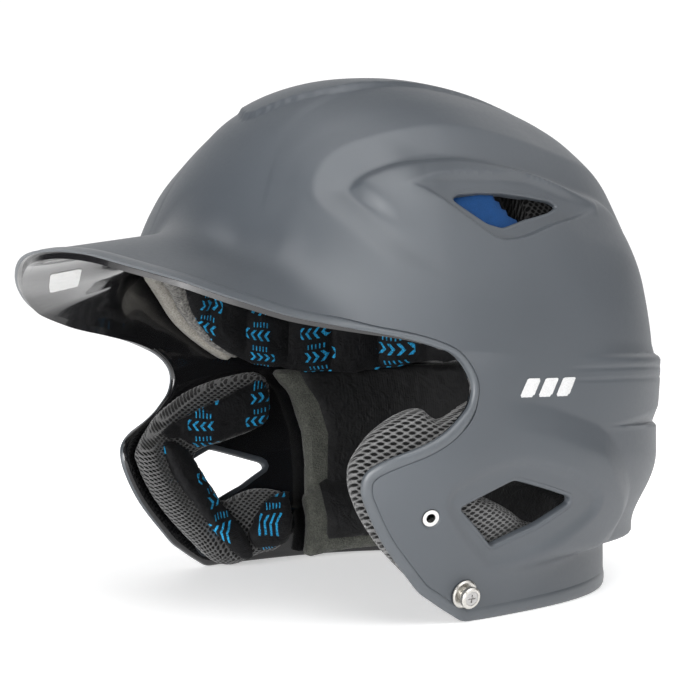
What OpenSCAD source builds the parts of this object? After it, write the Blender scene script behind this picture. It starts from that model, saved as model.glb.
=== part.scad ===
// Batting helmet with two ear flaps: moulded shell, foam liner set, strap studs and faceguard inserts.
// Front is -Y, the wearer's left is +X, up is +Z. The origin is under the middle of the outside box.
// Places on the shell are pairs [azimuth, elevation] in degrees, seen from the centre of the dome:
// azimuth 0 is the front and grows towards the wearer's left, elevation 0 is the widest level.

/* [Dome] */
// Half of the outside width over the ears
half_width = 104.5; // [98:0.5:110]
// Reach of the forehead in front of the dome's centre
front_reach = 96; // [90:1:102]
// Reach of the back of the head behind the dome's centre
back_reach = 133; // [124:1:142]
// Height of the crown above the lower rim
crown_height = 218; // [208:1:226]
// Height of the widest level above the lower rim
belt_height = 80; // [76:1:84]

/* [Shell] */
// Wall thickness of the moulded shell
wall = 3.5; // [3:0.1:4]
// Reach of the brim's tip in front of the dome's centre
brim_tip = 154; // [150:1:158]
// Radial size of the fillet between dome and brim
brim_fillet = 14; // [8:1:20]

/* [Liner] */
// Gap between the shell and the foam, filled by hook-and-loop dots
liner_gap = 1; // [0.9:0.1:1.4]
// Thickness of the firm foam layer
firm_foam = 8; // [6:0.5:9]
// Thickness of the soft comfort foam layer
soft_foam = 7; // [5:0.5:8]
// Thickness of the printed fabric band over the comfort foam
band_t = 1.6; // [1.2:0.1:2]
// Thickness of the crown pads
crown_pad_t = 10; // [8:0.5:12]
// Thickness of the ear pads
ear_pad_t = 10.5; // [8:0.5:12]
// Thickness of the padded strips on the ear pads
strip_t = 3; // [2:0.5:4]

/* [Hardware] */
// Diameter of the chin strap stud's head
stud_d = 8.4; // [7.5:0.1:9]
// Diameter of the washer under the stud
washer_d = 11; // [10:0.5:12]
// Bore diameter of the faceguard inserts, the root of an 8-32 thread
insert_bore = 3.5; // [3.3:0.1:3.7]
// Outside diameter of the faceguard inserts
insert_d = 6.4; // [6:0.1:6.8]

/* [Hidden] */
$fn = 48;

// The outside box is centred on the origin, so the dome's centre lies behind it
dome_y = (brim_tip - back_reach) / 2;

// Squareness of the plan sections: crown, front belt, back belt; and of the meridians
crown_square = 2.1;
front_square = 2.8;
back_square = 2.65;
meridian_square = 2.5;
// Share by which the wall tucks in below the belt, and the levels between which it does so
front_tuck = [0.15, 67, -14];
back_tuck = [0.083, 58, 22];
// Further step at the back, in to the flange along the lower edge
back_step = [0.1, 19, 5];

// Brim edge: azimuth and reach from the dome's centre
brim_plan = [[-18, 149], [0, brim_tip], [18, 149], [32, 141], [39, 130], [48, 119], [58, 111.5],
             [65, 107.5], [72, 104], [90, 95]];
// Brim edge: azimuth and elevation
brim_edge = [[-9, 20.6], [0, 21], [9, 20.6], [17.5, 19.2], [24, 17.9], [32, 15.9], [39, 14.8],
             [48, 14.2], [58, 13.1], [65, 11.5]];
// Rest of the face opening: temple notch, cheek corner, front edge of the flap, jaw
flap_edge = [[68.5, 9.9], [71.1, 7.3], [72, 4.7], [71.3, 1.7], [70.3, 0.3], [66.4, -3.3],
             [62, -5.7], [56.3, -7.7], [52.1, -9.5], [50, -11.3], [49.4, -13.9], [50.1, -16.9],
             [54.2, -25.3], [61.6, -34.3], [65.5, -36.9], [69.5, -39], [77, -42.5], [84, -48]];
ear_hole = [[70.2, -18.9], [83.6, -14.2], [101, -18.4], [101.6, -19.8], [92.7, -24.3], [80.6, -28.3]];
side_vent = [[71.2, 40.4], [73.3, 41.7], [80, 42.8], [88, 43.3], [96, 43], [105.5, 42.1], [108, 41],
             [103.6, 40], [93.3, 38.6], [84.8, 36.5], [80.2, 37]];

// Hardware places
insert_place = [63.5, -19.9];
stud_place = [74.2, -36.6];
// Clearance between the curved wall and the flat faces of flanges and washers
seat_gap = 0.5;

// ---- numbers ----
function smooth(t) = let (u = min(max(t, 0), 1)) u * u * (3 - 2 * u);
function mix(a, b, t) = a + (b - a) * t;
function turn(a) = a - 360 * round(a / 360);

// Smooth curve through a table of [argument, value] rows
function curve(x, rows) =
    let (last = len(rows) - 1,
         u = min(max(x, rows[0][0]), rows[last][0]),
         k = min(max([for (i = [0:last - 1]) if (rows[i][0] <= u) i]), last - 1),
         a = rows[k], b = rows[k + 1], w = b[0] - a[0], t = (u - a[0]) / w,
         slope_a = (b[1] - rows[max(k - 1, 0)][1]) / (b[0] - rows[max(k - 1, 0)][0]),
         slope_b = (rows[min(k + 2, last)][1] - a[1]) / (rows[min(k + 2, last)][0] - a[0]))
    mix(a[1], b[1], smooth(t)) + w * t * (1 - t) * ((1 - t) * slope_a - t * slope_b);

// Rounded outline through the corner points of a closed polygon
function rounded(points, steps = 4) =
    let (n = len(points))
    [for (i = [0:n - 1], s = [0:steps - 1])
        let (t = s / steps, a = points[(i + n - 1) % n], b = points[i],
             c = points[(i + 1) % n], d = points[(i + 2) % n])
        b + t * (c - a) / 2 + t * t * (2 * a - 5 * b + 4 * c - d) / 2
          + t * t * t * (3 * b - a - 3 * c + d) / 2];

// Outline with straight sides and small round corners
function filleted(points, reach, steps = 2) =
    let (n = len(points))
    [for (i = [0:n - 1], s = [0:steps])
        let (t = s / steps, b = points[i],
             to_a = points[(i + n - 1) % n] - b, to_c = points[(i + 1) % n] - b,
             a = b + to_a * min(reach / norm(to_a), 0.45), c = b + to_c * min(reach / norm(to_c), 0.45))
        mix(mix(a, b, t), mix(b, c, t), t)];

// A half outline joined to its mirror image about the given azimuth
function both_sides(half, about = 0) =
    concat(half, [for (i = [len(half) - 1:-1:0]) [2 * about - half[i][0], half[i][1]]]);

// ---- outer surface ----
// Share lost at a level below two others, given as [share, upper level, lower level]
function fall(level, span) = span[0] * smooth((span[1] - level) / (span[1] - span[2]));

function plan_radius(a, square) =
    let (s = abs(sin(a)) / half_width, reach = cos(a) > 0 ? front_reach : back_reach)
    pow(pow(s, square) + pow(abs(cos(a)) / reach, square), -1 / square);

function body_radius(a, el) =
    let (back = smooth((a - 80) / 70),
         belt_square = mix(front_square, back_square, back),
         tuck = [for (i = [0:2]) mix(front_tuck[i], back_tuck[i], back)],
         r0 = plan_radius(a, mix(crown_square, belt_square, smooth(1 - max(el, 0) / 60))),
         level = belt_height + r0 * tan(min(el, 0)))
    el <= 0 ? r0 * (1 - fall(level, tuck) - back * fall(level, back_step))
            : cos(el) * pow(pow(cos(el) / r0, meridian_square)
                          + pow(sin(el) / (crown_height - belt_height), meridian_square),
                            -1 / meridian_square);

// Radius of the brim's cone, which falls away below the brim edge
function brim_radius(a, el) =
    let (reach = curve(a, brim_plan), edge = curve(a, brim_edge),
         slope = tan(10 + 66 * smooth((a - 18) / 50)))
    el < edge ? reach * (1 - (edge - el) * 0.021)
              : reach * (tan(edge) + slope) / (tan(min(el, 80)) + slope);

function outer_radius(azimuth, el, brim = true) =
    let (a = abs(turn(azimuth)), body = body_radius(a, el))
    !brim || a > 86 ? body
    : let (edge = curve(a, brim_edge), cone = brim_radius(a, el),
           blend = max(brim_fillet - abs(body - cone), 0) / brim_fillet,
           share = (1 - smooth((el - edge - 25) / 15)) * (1 - smooth((a - 66) / 20)))
      mix(body, max(body, cone) + blend * blend * brim_fillet / 4, share);

function outer_point(azimuth, el, brim = true) =
    let (r = outer_radius(azimuth, el, brim))
    [r * sin(azimuth), dome_y - r * cos(azimuth), belt_height + r * tan(el)];

function outward(azimuth, el, brim = true) =
    let (e = 0.25,
         n = cross(outer_point(azimuth + e, el, brim) - outer_point(azimuth - e, el, brim),
                   outer_point(azimuth, el + e, brim) - outer_point(azimuth, el - e, brim)))
    n / norm(n);

function inset_point(place, depth, brim = true) =
    outer_point(place[0], place[1], brim) - depth * outward(place[0], place[1], brim);

// ---- trimmed panels ----
function segment_distance(p, a, b) =
    let (d = b - a, t = min(max((p - a) * d / max(d * d, 0.000001), 0), 1)) norm(p - a - t * d);

// Distance to a closed outline in degrees, positive inside it
function inside_by(p, outline) =
    let (n = len(outline),
         crossings = [for (i = [0:n - 1])
             let (a = outline[i], b = outline[(i + 1) % n])
             if ((a[1] > p[1]) != (b[1] > p[1])
                 && p[0] < mix(a[0], b[0], (p[1] - a[1]) / (b[1] - a[1]))) 1],
         gap = min([for (i = [0:n - 1]) segment_distance(p, outline[i], outline[(i + 1) % n])]))
    len(crossings) % 2 == 1 ? gap : -gap;

// Grid points of a sheet, moved onto the outline where a grid line crosses it.
// Each entry is [place, state]: 1 inside, 0 on the outline, -1 outside.
function trimmed_grid(columns, rows, wraps, inside) =
    let (nc = len(columns), nr = len(rows),
         value = [for (a = columns) [for (el = rows) inside([a, el])]],
         span = wraps ? 360 : 0)
    [for (i = [0:nc - 1]) [for (j = [0:nr - 1])
        let (v = value[i][j], p = [columns[i], rows[j]],
             crossings = [for (d = [[1, 0], [-1, 0], [0, 1], [0, -1]])
                 let (k = i + d[0], m = j + d[1], kk = (k + nc) % nc,
                      on_grid = m >= 0 && m < nr && (wraps || (k >= 0 && k < nc)),
                      w = on_grid ? value[kk][m] : v)
                 if (on_grid && v * w < 0 && abs(v) <= abs(w))
                 let (q = [columns[kk] + span * round((k - kk) / nc), rows[m]])
                 [v / (v - w), q]],
             nearest = len(crossings) == 0 ? 1 : min([for (c = crossings) c[0]]))
        abs(v) < 0.001 ? [p, 0] : len(crossings) == 0 ? [p, v > 0 ? 1 : -1]
            : let (q = [for (c = crossings) if (c[0] == nearest) c[1]][0]) [p + nearest * (q - p), 0]]];

function middle(points) = points * [for (p = points) 1] / len(points);
function centre(places) = [for (k = [0, 1]) middle([for (p = places) p[k]])];

// A closed sheet between two depths under the outer surface, over the places where inside() > 0.
// A cap closes the sheet over the crown.
module sheet(columns, rows, inside, outer_depth, inner_depth, wraps = false, brim = false,
             capped = false) {
    nc = len(columns);
    nr = len(rows);
    count = nc * nr;
    grid = trimmed_grid(columns, rows, wraps, inside);
    points = [for (depth = [outer_depth, inner_depth], j = [0:nr - 1], i = [0:nc - 1])
        inset_point(grid[i][j][0], depth, brim)];
    poles = [for (depth = [outer_depth, inner_depth]) [0, dome_y, crown_height - depth]];
    last_column = wraps ? nc - 1 : nc - 2;
    around = [[0, 0], [1, 0], [1, 1], [0, 1]];
    corners = [for (i = [0:last_column]) [for (j = [0:nr - 2])
        let (c = [for (d = around) [(i + d[0]) % nc, j + d[1]]],
             kept = [for (g = c) if (grid[g[0]][g[1]][1] >= 0) g],
             firm = len([for (g = kept) if (grid[g[0]][g[1]][1] > 0) 1]) > 0)
        len(kept) < 3 || (!firm && inside(centre([for (g = kept) grid[g[0]][g[1]][0]])) <= 0)
            ? [] : kept]];
    beyond = [[0, -1], [1, 0], [0, 1], [-1, 0]];
    edges = [for (i = [0:last_column], j = [0:nr - 2]) let (k = corners[i][j]) if (len(k) > 2)
        for (s = [0:len(k) - 1])
            let (a = k[s], b = k[(s + 1) % len(k)],
                 side = [for (m = [0:3])
                     if (a == [(i + around[m][0]) % nc, j + around[m][1]]
                         && b == [(i + around[(m + 1) % 4][0]) % nc, j + around[(m + 1) % 4][1]]) m],
                 d = len(side) == 0 ? [0, 0] : beyond[side[0]],
                 ni = wraps ? (i + d[0] + nc) % nc : i + d[0], nj = j + d[1],
                 on_grid = nj >= 0 && nj < nr - 1 && ni >= 0 && ni <= last_column,
                 at_cap = capped && nj == nr - 1)
            if (!at_cap && (len(side) == 0 || !on_grid || len(corners[ni][nj]) < 3)) [a, b]];
    function id(g, face) = face * count + g[1] * nc + g[0];
    faces = concat(
        [for (i = [0:last_column], j = [0:nr - 2]) let (k = corners[i][j]) if (len(k) > 2)
            for (s = [1:len(k) - 2], face = [0, 1])
                face == 0 ? [id(k[0], 0), id(k[s + 1], 0), id(k[s], 0)]
                          : [id(k[0], 1), id(k[s], 1), id(k[s + 1], 1)]],
        [for (e = edges, half = [0, 1])
            half == 0 ? [id(e[0], 1), id(e[0], 0), id(e[1], 0)]
                      : [id(e[0], 1), id(e[1], 0), id(e[1], 1)]],
        !capped ? [] :
        [for (i = [0:nc - 1], face = [0, 1])
            let (a = id([i, nr - 1], face), b = id([(i + 1) % nc, nr - 1], face), top = 2 * count + face)
            face == 0 ? [a, top, b] : [a, b, top]]);
    polyhedron(concat(points, poles), faces);
}

// A pad: the sheet inside one closed outline
module pad(outline, outer_depth, inner_depth, step = [7, 5]) {
    low = [for (k = [0, 1]) min([for (p = outline) p[k]]) - step[k]];
    high = [for (k = [0, 1]) max([for (p = outline) p[k]]) + step[k]];
    lines = [for (k = [0, 1])
        let (n = ceil((high[k] - low[k]) / step[k]))
        [for (i = [0:n]) mix(low[k], high[k], i / n)]];
    sheet(lines[0], lines[1], function(p) inside_by(p, outline), outer_depth, inner_depth);
}

module left_right(right) {
    if (right) mirror([1, 0, 0]) children();
    else children();
}

// Stands its children on the outer surface, their Z pointing outwards
module on_shell(place) {
    n = outward(place[0], place[1]);
    translate(outer_point(place[0], place[1]))
        rotate([0, acos(n[2]), atan2(n[1], n[0])]) children();
}

// ---- shell ----
opening = concat(rounded(concat(brim_edge, flap_edge, [[84, -75], [-40, -75], [-40, 20]]), 3));
ear_outline = filleted(ear_hole, 1.2);
vent_outline = filleted(side_vent, 1);

function shell_value(p) =
    let (q = [abs(turn(p[0])), p[1]],
         level = outer_point(p[0], p[1])[2])
    min(-inside_by(q, opening), level / 2,
        q[0] > 60 && q[0] < 112 ? -inside_by(q, ear_outline) : 9,
        q[0] > 60 && q[0] < 112 ? -inside_by(q, vent_outline) : 9);

shell_columns = [for (i = [0:71]) -180 + 5 * i];
shell_rows = concat([for (el = [-48:4:-32]) el], [for (el = [-29:3:7]) el],
                    [for (el = [9.5:2.5:44.5]) el], [for (el = [48:5:83]) el], [87]);

// Eight-sided seats, in which a pressed insert can't turn
module seat(across_flats) translate([0, 0, -9])
    cylinder(d = across_flats / cos(22.5), h = 14, $fn = 8);

module hardware_holes() {
    for (right = [false, true]) left_right(right) {
        on_shell(insert_place) seat(insert_d + 0.2);
        on_shell(stud_place) seat(nut_d + 0.2);
    }
}

module shell() color([0.42, 0.44, 0.46]) {
    difference() {
        sheet(shell_columns, shell_rows, function(p) shell_value(p), 0, wall,
              wraps = true, brim = true, capped = true);
        hardware_holes();
    }
}

// ---- head liner ----
firm_out = wall + liner_gap;
firm_in = firm_out + firm_foam;
soft_out = firm_in + 0.3;
soft_in = soft_out + soft_foam;
band_out = soft_in + 0.3;
band_in = band_out + band_t;

// Lower edge of the headband, from the forehead round to the back of the head
band_low = [[-30, 30], [0, 31], [30, 30], [50, 27.5], [60, 24], [69, 18.5], [79, 13.2], [88, 9.2],
            [109, 5.8], [129, 5.2], [140, 6.6], [152, 7.2], [165, 7.5]];
band_rise = 18;
// The side foam starts this much above the band's edge, clear of the ear pad
side_foam_margin = 3.4;
front_foam_end = 88;
function band_part(from, to, low_margin = 0, high_margin = 0) =
    let (n = ceil((to - from) / 9), a = [for (i = [0:n]) mix(from, to, i / n)])
    concat([for (x = a) [x, curve(abs(x), band_low) + low_margin]],
           [for (i = [n:-1:0]) [a[i], curve(abs(a[i]), band_low) + band_rise - high_margin]]);

module front_firm_foam() color([0.62, 0.60, 0.57])
    pad(band_part(-front_foam_end, front_foam_end), firm_out, firm_in, [8, 5]);
module front_comfort_foam() color([0.45, 0.43, 0.40])
    pad(band_part(-front_foam_end, front_foam_end, 0.4), soft_out, soft_in, [8, 5]);
module side_foam(right) color([0.25, 0.25, 0.26]) left_right(right)
    pad(band_part(front_foam_end + 2, 130, side_foam_margin), firm_out, soft_in, [8, 5]);
module headband_cover() color([0.08, 0.08, 0.09])
    pad(band_part(-165, 165, 0.6, 0.6), band_out, band_in, [8, 5]);

crown_out = wall + liner_gap;
crown_in = crown_out + crown_pad_t;
// The crown pad is a rounded disc under the top of the dome
module crown_pad_top() color([0.1, 0.1, 0.11])
    sheet([for (i = [0:23]) -180 + 15 * i], [74, 78, 82, 86], function(p) 1, crown_out, crown_in,
          wraps = true, capped = true);
module crown_pad(right) color([0.02, 0.28, 0.62]) left_right(right)
    pad(rounded([[30, 54], [30, 66], [62, 68], [91, 66], [92.5, 40], [90, 32], [75, 36], [58, 46]], 2),
        crown_out, crown_in, [9, 5]);
module crown_mesh(right) color([0.12, 0.12, 0.13]) left_right(right)
    pad(rounded([[97, 33], [97, 64], [118, 66], [140, 60], [140, 34], [118, 31]], 2),
        crown_out, crown_in, [9, 5]);

rear_out = firm_out + 0.4;
rear_in = firm_in + 1;
rear_half = [[102.5, 7], [104.5, 4], [108.3, 0.5], [112.3, -10], [112.8, -19], [111.5, -30],
             [109.5, -41], [125, -38], [140, -35.5], [160, -33.5], [176, -33]];
cover_half = [[108.5, 7], [111, 3], [115, -2], [118, -10], [117.5, -22], [116, -31], [115, -37],
              [125, -35.5], [140, -33], [160, -31], [176, -30.5]];
module rear_foam() color([0.33, 0.32, 0.27])
    pad(both_sides(concat([[140, 7]], rear_half), 180), rear_out, rear_in, [6, 3]);
module rear_cover() color([0.07, 0.07, 0.08])
    pad(both_sides(concat([[140, 7]], cover_half), 180), rear_in + 1.2, rear_in + 4.4, [6, 3]);

// ---- ear pads ----
ear_out = wall + 1.5;
ear_in = ear_out + ear_pad_t;
ear_shape = [[62, -4], [67, -1.4], [76, 2.6], [88, 5.6], [97, 6.3], [100.3, 2], [99.5, -4.5],
             [96.5, -8.8], [86.5, -12.2], [77, -14.2], [73, -17.5], [77.5, -25], [80.5, -29], [92, -26.8],
             [102, -27.6], [104, -31], [103.3, -36], [99, -39.5], [92, -40.5], [82, -41.5], [73, -40],
             [66, -36], [60, -31], [55, -24.5], [51.5, -17], [50.5, -13], [53, -10.5], [58, -7]];
strip_upper = [[58.3, -9.4], [61, -6.8], [70, -3.6], [82, 0.4], [93.5, 4.2], [97, 1.6], [97.6, -4.2],
               [95, -8.2], [86.5, -11.6], [76.5, -13.8], [71.5, -12.8], [66.5, -10.4]];
strip_front = [[59, -12.2], [66.2, -12.8], [71.4, -18.6], [76.6, -29.6], [82.5, -35.4], [85.4, -40.2],
               [79.7, -40], [70.2, -35], [63.2, -28], [58.9, -19.6]];
strip_lower = [[85.8, -37], [93.4, -32.4], [100.4, -29], [103, -31.5], [102.4, -35.6], [98.6, -38.8],
               [89.5, -39.8]];

module ear_pad(right) color([0.16, 0.16, 0.17]) left_right(right)
    pad(ear_shape, ear_out, ear_in, [4, 3]);
module ear_strip(outline, right) color([0.11, 0.11, 0.12]) left_right(right)
    pad(outline, ear_in + 0.3, ear_in + 0.3 + strip_t, [3.6, 2.4]);

// ---- hardware ----
nut_d = 5.4;
flange_t = 0.9;
washer_t = 1;
neck_t = 2;
head_t = 1.8;
screw_d = 3;
stud_base = seat_gap + washer_t + 0.1;

module faceguard_insert(right) color([0.8, 0.8, 0.8]) left_right(right) on_shell(insert_place)
    difference() {
        union() {
            translate([0, 0, -wall - seat_gap]) cylinder(d = insert_d, h = wall + seat_gap - 0.3);
            translate([0, 0, -wall - seat_gap - flange_t]) cylinder(d = insert_d + 5, h = flange_t);
        }
        translate([0, 0, -wall - 2]) cylinder(d = insert_bore, h = wall + 3);
    }

module snap_nut(right) color([0.75, 0.74, 0.7]) left_right(right) on_shell(stud_place)
    difference() {
        union() {
            translate([0, 0, -wall - seat_gap]) cylinder(d = nut_d, h = wall + seat_gap - 0.3);
            translate([0, 0, -wall - seat_gap - flange_t]) cylinder(d = nut_d + 5, h = flange_t);
        }
        translate([0, 0, -wall - 2]) cylinder(d = screw_d, h = wall + 3);
    }

module snap_washer(right) color([0.78, 0.77, 0.74]) left_right(right) on_shell(stud_place)
    translate([0, 0, seat_gap]) difference() {
        rotate_extrude() polygon([[0, 0], [washer_d / 2, 0], [washer_d / 2, 0.5],
                                  [washer_d / 2 - 0.6, washer_t], [0, washer_t]]);
        translate([0, 0, -1]) cylinder(d = screw_d + 0.2, h = 4);
    }

module snap_stud(right) color([0.82, 0.81, 0.78]) left_right(right) on_shell(stud_place)
    translate([0, 0, stud_base]) difference() {
        rotate_extrude() polygon([[0, 0], [stud_d / 2 - 1.2, 0], [stud_d / 2 - 1.2, neck_t],
                                  [stud_d / 2, neck_t], [stud_d / 2, neck_t + head_t - 0.5],
                                  [stud_d / 2 - 0.5, neck_t + head_t], [0, neck_t + head_t]]);
        translate([0, 0, -1]) cylinder(d = screw_d + 0.2, h = 8);
        translate([0, 0, neck_t + head_t - 1]) cylinder(d = 5.6, h = 3);
    }

module snap_screw(right) color([0.7, 0.7, 0.7]) left_right(right) on_shell(stud_place)
    translate([0, 0, stud_base]) difference() {
        union() {
            translate([0, 0, -wall - 0.4]) cylinder(d = screw_d - 0.1, h = wall + neck_t + head_t);
            translate([0, 0, neck_t + head_t - 0.95]) cylinder(d = 5.4, h = 0.85);
        }
        for (quarter = [0, 90]) rotate([0, 0, quarter])
            translate([-1.6, -0.35, neck_t + head_t - 0.7]) cube([3.2, 0.7, 2]);
    }

// ---- small pieces ----
dot_places = [[-40, 38], [0, 40], [40, 38], [-100, 20], [100, 20], [-150, -15], [150, -15], [180, -22],
              [-72, 54], [72, 54], [-118, 48], [118, 48]];
module hook_dots() color([0.05, 0.05, 0.05])
    for (place = dot_places)
        pad([for (t = [0:45:315]) place + [6 * cos(t), 5 * sin(t)]], wall + 0.3, wall + 0.7, [3, 2.5]);

// A blank label stuck under the brim, and three slanted bars printed beside the ear
label_outline = [[-24.5, 20.4], [-15, 22.3], [-14.5, 25.2], [-24, 23.2]];
module brim_label() color([0.93, 0.93, 0.93])
    sheet([for (a = [-27:2:-11]) a], [for (el = [19.4:0.8:26.6]) el],
          function(p) inside_by(p, label_outline), wall + 0.3, wall + 0.5, brim = true);

module side_mark(right) color([0.95, 0.95, 0.95]) left_right(right)
    for (i = [0:2])
        pad([[84 + 5.5 * i, 2.8], [88 + 5.5 * i, 2.8], [90.5 + 5.5 * i, 6.6], [86.5 + 5.5 * i, 6.6]],
            -0.3, -0.05, [1.1, 0.95]);

shell();
front_firm_foam();
front_comfort_foam();
side_foam(false);  // side_foam_left
side_foam(true);  // side_foam_right
headband_cover();
crown_pad_top();
crown_pad(false);  // crown_pad_left
crown_pad(true);  // crown_pad_right
crown_mesh(false);  // crown_mesh_left
crown_mesh(true);  // crown_mesh_right
rear_foam();
rear_cover();
ear_pad(false);  // ear_pad_left
ear_pad(true);  // ear_pad_right
ear_strip(strip_upper, false);  // ear_strip_upper_left
ear_strip(strip_front, false);  // ear_strip_front_left
ear_strip(strip_lower, false);  // ear_strip_lower_left
ear_strip(strip_upper, true);  // ear_strip_upper_right
ear_strip(strip_front, true);  // ear_strip_front_right
ear_strip(strip_lower, true);  // ear_strip_lower_right
faceguard_insert(false);  // faceguard_insert_left
faceguard_insert(true);  // faceguard_insert_right
snap_nut(false);  // snap_nut_left
snap_nut(true);  // snap_nut_right
snap_washer(false);  // snap_washer_left
snap_washer(true);  // snap_washer_right
snap_stud(false);  // snap_stud_left
snap_stud(true);  // snap_stud_right
snap_screw(false);  // snap_screw_left
snap_screw(true);  // snap_screw_right
hook_dots();
brim_label();
side_mark(false);  // side_mark_left
side_mark(true);  // side_mark_right
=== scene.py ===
import math

import bpy
import numpy as np
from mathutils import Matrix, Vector
from mathutils.kdtree import KDTree


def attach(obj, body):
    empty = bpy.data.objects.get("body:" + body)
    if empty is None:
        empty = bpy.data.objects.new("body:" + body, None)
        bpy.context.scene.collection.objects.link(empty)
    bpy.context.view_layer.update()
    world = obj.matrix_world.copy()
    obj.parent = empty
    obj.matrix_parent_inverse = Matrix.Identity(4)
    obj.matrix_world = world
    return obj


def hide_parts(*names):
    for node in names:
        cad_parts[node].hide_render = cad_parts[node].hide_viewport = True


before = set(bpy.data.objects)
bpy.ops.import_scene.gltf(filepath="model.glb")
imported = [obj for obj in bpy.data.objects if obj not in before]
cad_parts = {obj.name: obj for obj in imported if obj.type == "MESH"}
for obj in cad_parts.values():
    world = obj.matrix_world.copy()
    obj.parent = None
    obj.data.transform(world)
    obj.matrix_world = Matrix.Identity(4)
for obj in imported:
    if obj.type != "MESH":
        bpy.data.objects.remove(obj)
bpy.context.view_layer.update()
MM = 0.001

# ---------------------------------------------------------------- surface, in millimetres
# A place is (azimuth, elevation) in degrees seen from the dome's centre; azimuth 0 is the brim.
HALF_WIDTH, FRONT_REACH, BACK_REACH = 104.5, 96.0, 133.0
CROWN_HEIGHT, BELT, WALL, BRIM_TIP, BRIM_FILLET = 218.0, 80.0, 3.5, 154.0, 14.0
CENTRE = np.array([0.0, (BRIM_TIP - BACK_REACH) / 2, BELT])

BRIM_PLAN = [(-18, 149), (0, 154), (18, 149), (32, 141), (39, 130), (48, 119), (58, 111.5),
             (65, 107.5), (72, 104), (90, 95)]
BRIM_EDGE = [(-9, 20.6), (0, 21), (9, 20.6), (17.5, 19.2), (24, 17.9), (32, 15.9), (39, 14.8),
             (48, 14.2), (58, 13.1), (65, 11.5)]
FLAP_EDGE = [(68.5, 9.9), (71.1, 7.3), (72, 4.7), (71.3, 1.7), (70.3, 0.3), (66.4, -3.3),
             (62, -5.7), (56.3, -7.7), (52.1, -9.5), (50, -11.3), (49.4, -13.9), (50.1, -16.9),
             (54.2, -25.3), (61.6, -34.3), (65.5, -36.9), (69.5, -39), (77, -42.5), (84, -48)]
EAR_HOLE = [(70.2, -18.9), (83.6, -14.2), (101, -18.4), (101.6, -19.8), (92.7, -24.3), (80.6, -28.3)]
SIDE_VENT = [(71.2, 40.4), (73.3, 41.7), (80, 42.8), (88, 43.3), (96, 43), (105.5, 42.1), (108, 41),
             (103.6, 40), (93.3, 38.6), (84.8, 36.5), (80.2, 37)]
INSERT = (63.5, -19.9)
STUD = (74.2, -36.6)


def smooth(t):
    u = np.clip(t, 0, 1)
    return u * u * (3 - 2 * u)


def mix(a, b, t):
    return a + (b - a) * t


def turn(a):
    return a - 360 * np.round(a / 360)


def curve(x, rows):
    rows = np.asarray(rows, float)
    last = len(rows) - 1
    u = np.clip(x, rows[0, 0], rows[last, 0])
    k = np.clip(np.searchsorted(rows[:, 0], u, "right") - 1, 0, last - 1)
    before, after = np.maximum(k - 1, 0), np.minimum(k + 2, last)
    a, b = rows[k], rows[k + 1]
    w = b[..., 0] - a[..., 0]
    t = (u - a[..., 0]) / w
    slope_a = (b[..., 1] - rows[before, 1]) / (b[..., 0] - rows[before, 0])
    slope_b = (rows[after, 1] - a[..., 1]) / (rows[after, 0] - a[..., 0])
    return mix(a[..., 1], b[..., 1], smooth(t)) + w * t * (1 - t) * ((1 - t) * slope_a - t * slope_b)


def rounded(points, steps=4, closed=True):
    """Curve through the corner points of an outline or a line."""
    p = np.asarray(points, float)
    n = len(p)
    out = []
    for i in range(n if closed else n - 1):
        pick = (lambda k: p[k % n]) if closed else (lambda k: p[min(max(k, 0), n - 1)])
        a, b, c, d = pick(i - 1), pick(i), pick(i + 1), pick(i + 2)
        for s in range(steps):
            t = s / steps
            out.append(b + t * (c - a) / 2 + t * t * (2 * a - 5 * b + 4 * c - d) / 2
                       + t ** 3 * (3 * b - a - 3 * c + d) / 2)
    if not closed:
        out.append(p[-1])
    return np.array(out)


def filleted(points, reach, steps=4):
    """Outline with straight sides and small round corners."""
    p = np.asarray(points, float)
    out = []
    for i in range(len(p)):
        b = p[i]
        to_a, to_c = p[i - 1] - b, p[(i + 1) % len(p)] - b
        a = b + to_a * min(reach / np.hypot(*to_a), 0.45)
        c = b + to_c * min(reach / np.hypot(*to_c), 0.45)
        out += [mix(mix(a, b, t), mix(b, c, t), t) for t in np.linspace(0, 1, steps + 1)]
    return np.array(out)


def plan_radius(a, square):
    a = np.radians(a)
    reach = np.where(np.cos(a) > 0, FRONT_REACH, BACK_REACH)
    return (np.abs(np.sin(a) / HALF_WIDTH) ** square + np.abs(np.cos(a) / reach) ** square) ** (-1 / square)


def body_radius(a, el):
    back = smooth((a - 80) / 70)
    tuck, high, low = mix(0.15, 0.083, back), mix(67, 58, back), mix(-14, 22, back)
    belt = mix(2.8, 2.65, back)
    r0 = plan_radius(a, mix(2.1, belt, smooth(1 - np.maximum(el, 0) / 60)))
    level = BELT + r0 * np.tan(np.radians(np.minimum(el, 0)))
    step = 0.1 * back * smooth((19 - level) / 14)
    below = r0 * (1 - tuck * smooth((high - level) / (high - low)) - step)
    e = np.radians(np.maximum(el, 0))
    above = np.cos(e) * ((np.cos(e) / r0) ** 2.5 + (np.sin(e) / (CROWN_HEIGHT - BELT)) ** 2.5) ** (-1 / 2.5)
    return np.where(el <= 0, below, above)


def brim_radius(a, el):
    reach, edge = curve(a, BRIM_PLAN), curve(a, BRIM_EDGE)
    fall = np.tan(np.radians(10 + 66 * smooth((a - 18) / 50)))
    beyond = reach * (np.tan(np.radians(edge)) + fall) / (np.tan(np.radians(np.minimum(el, 80))) + fall)
    return np.where(el < edge, reach * (1 - (edge - el) * 0.021), beyond)


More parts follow.
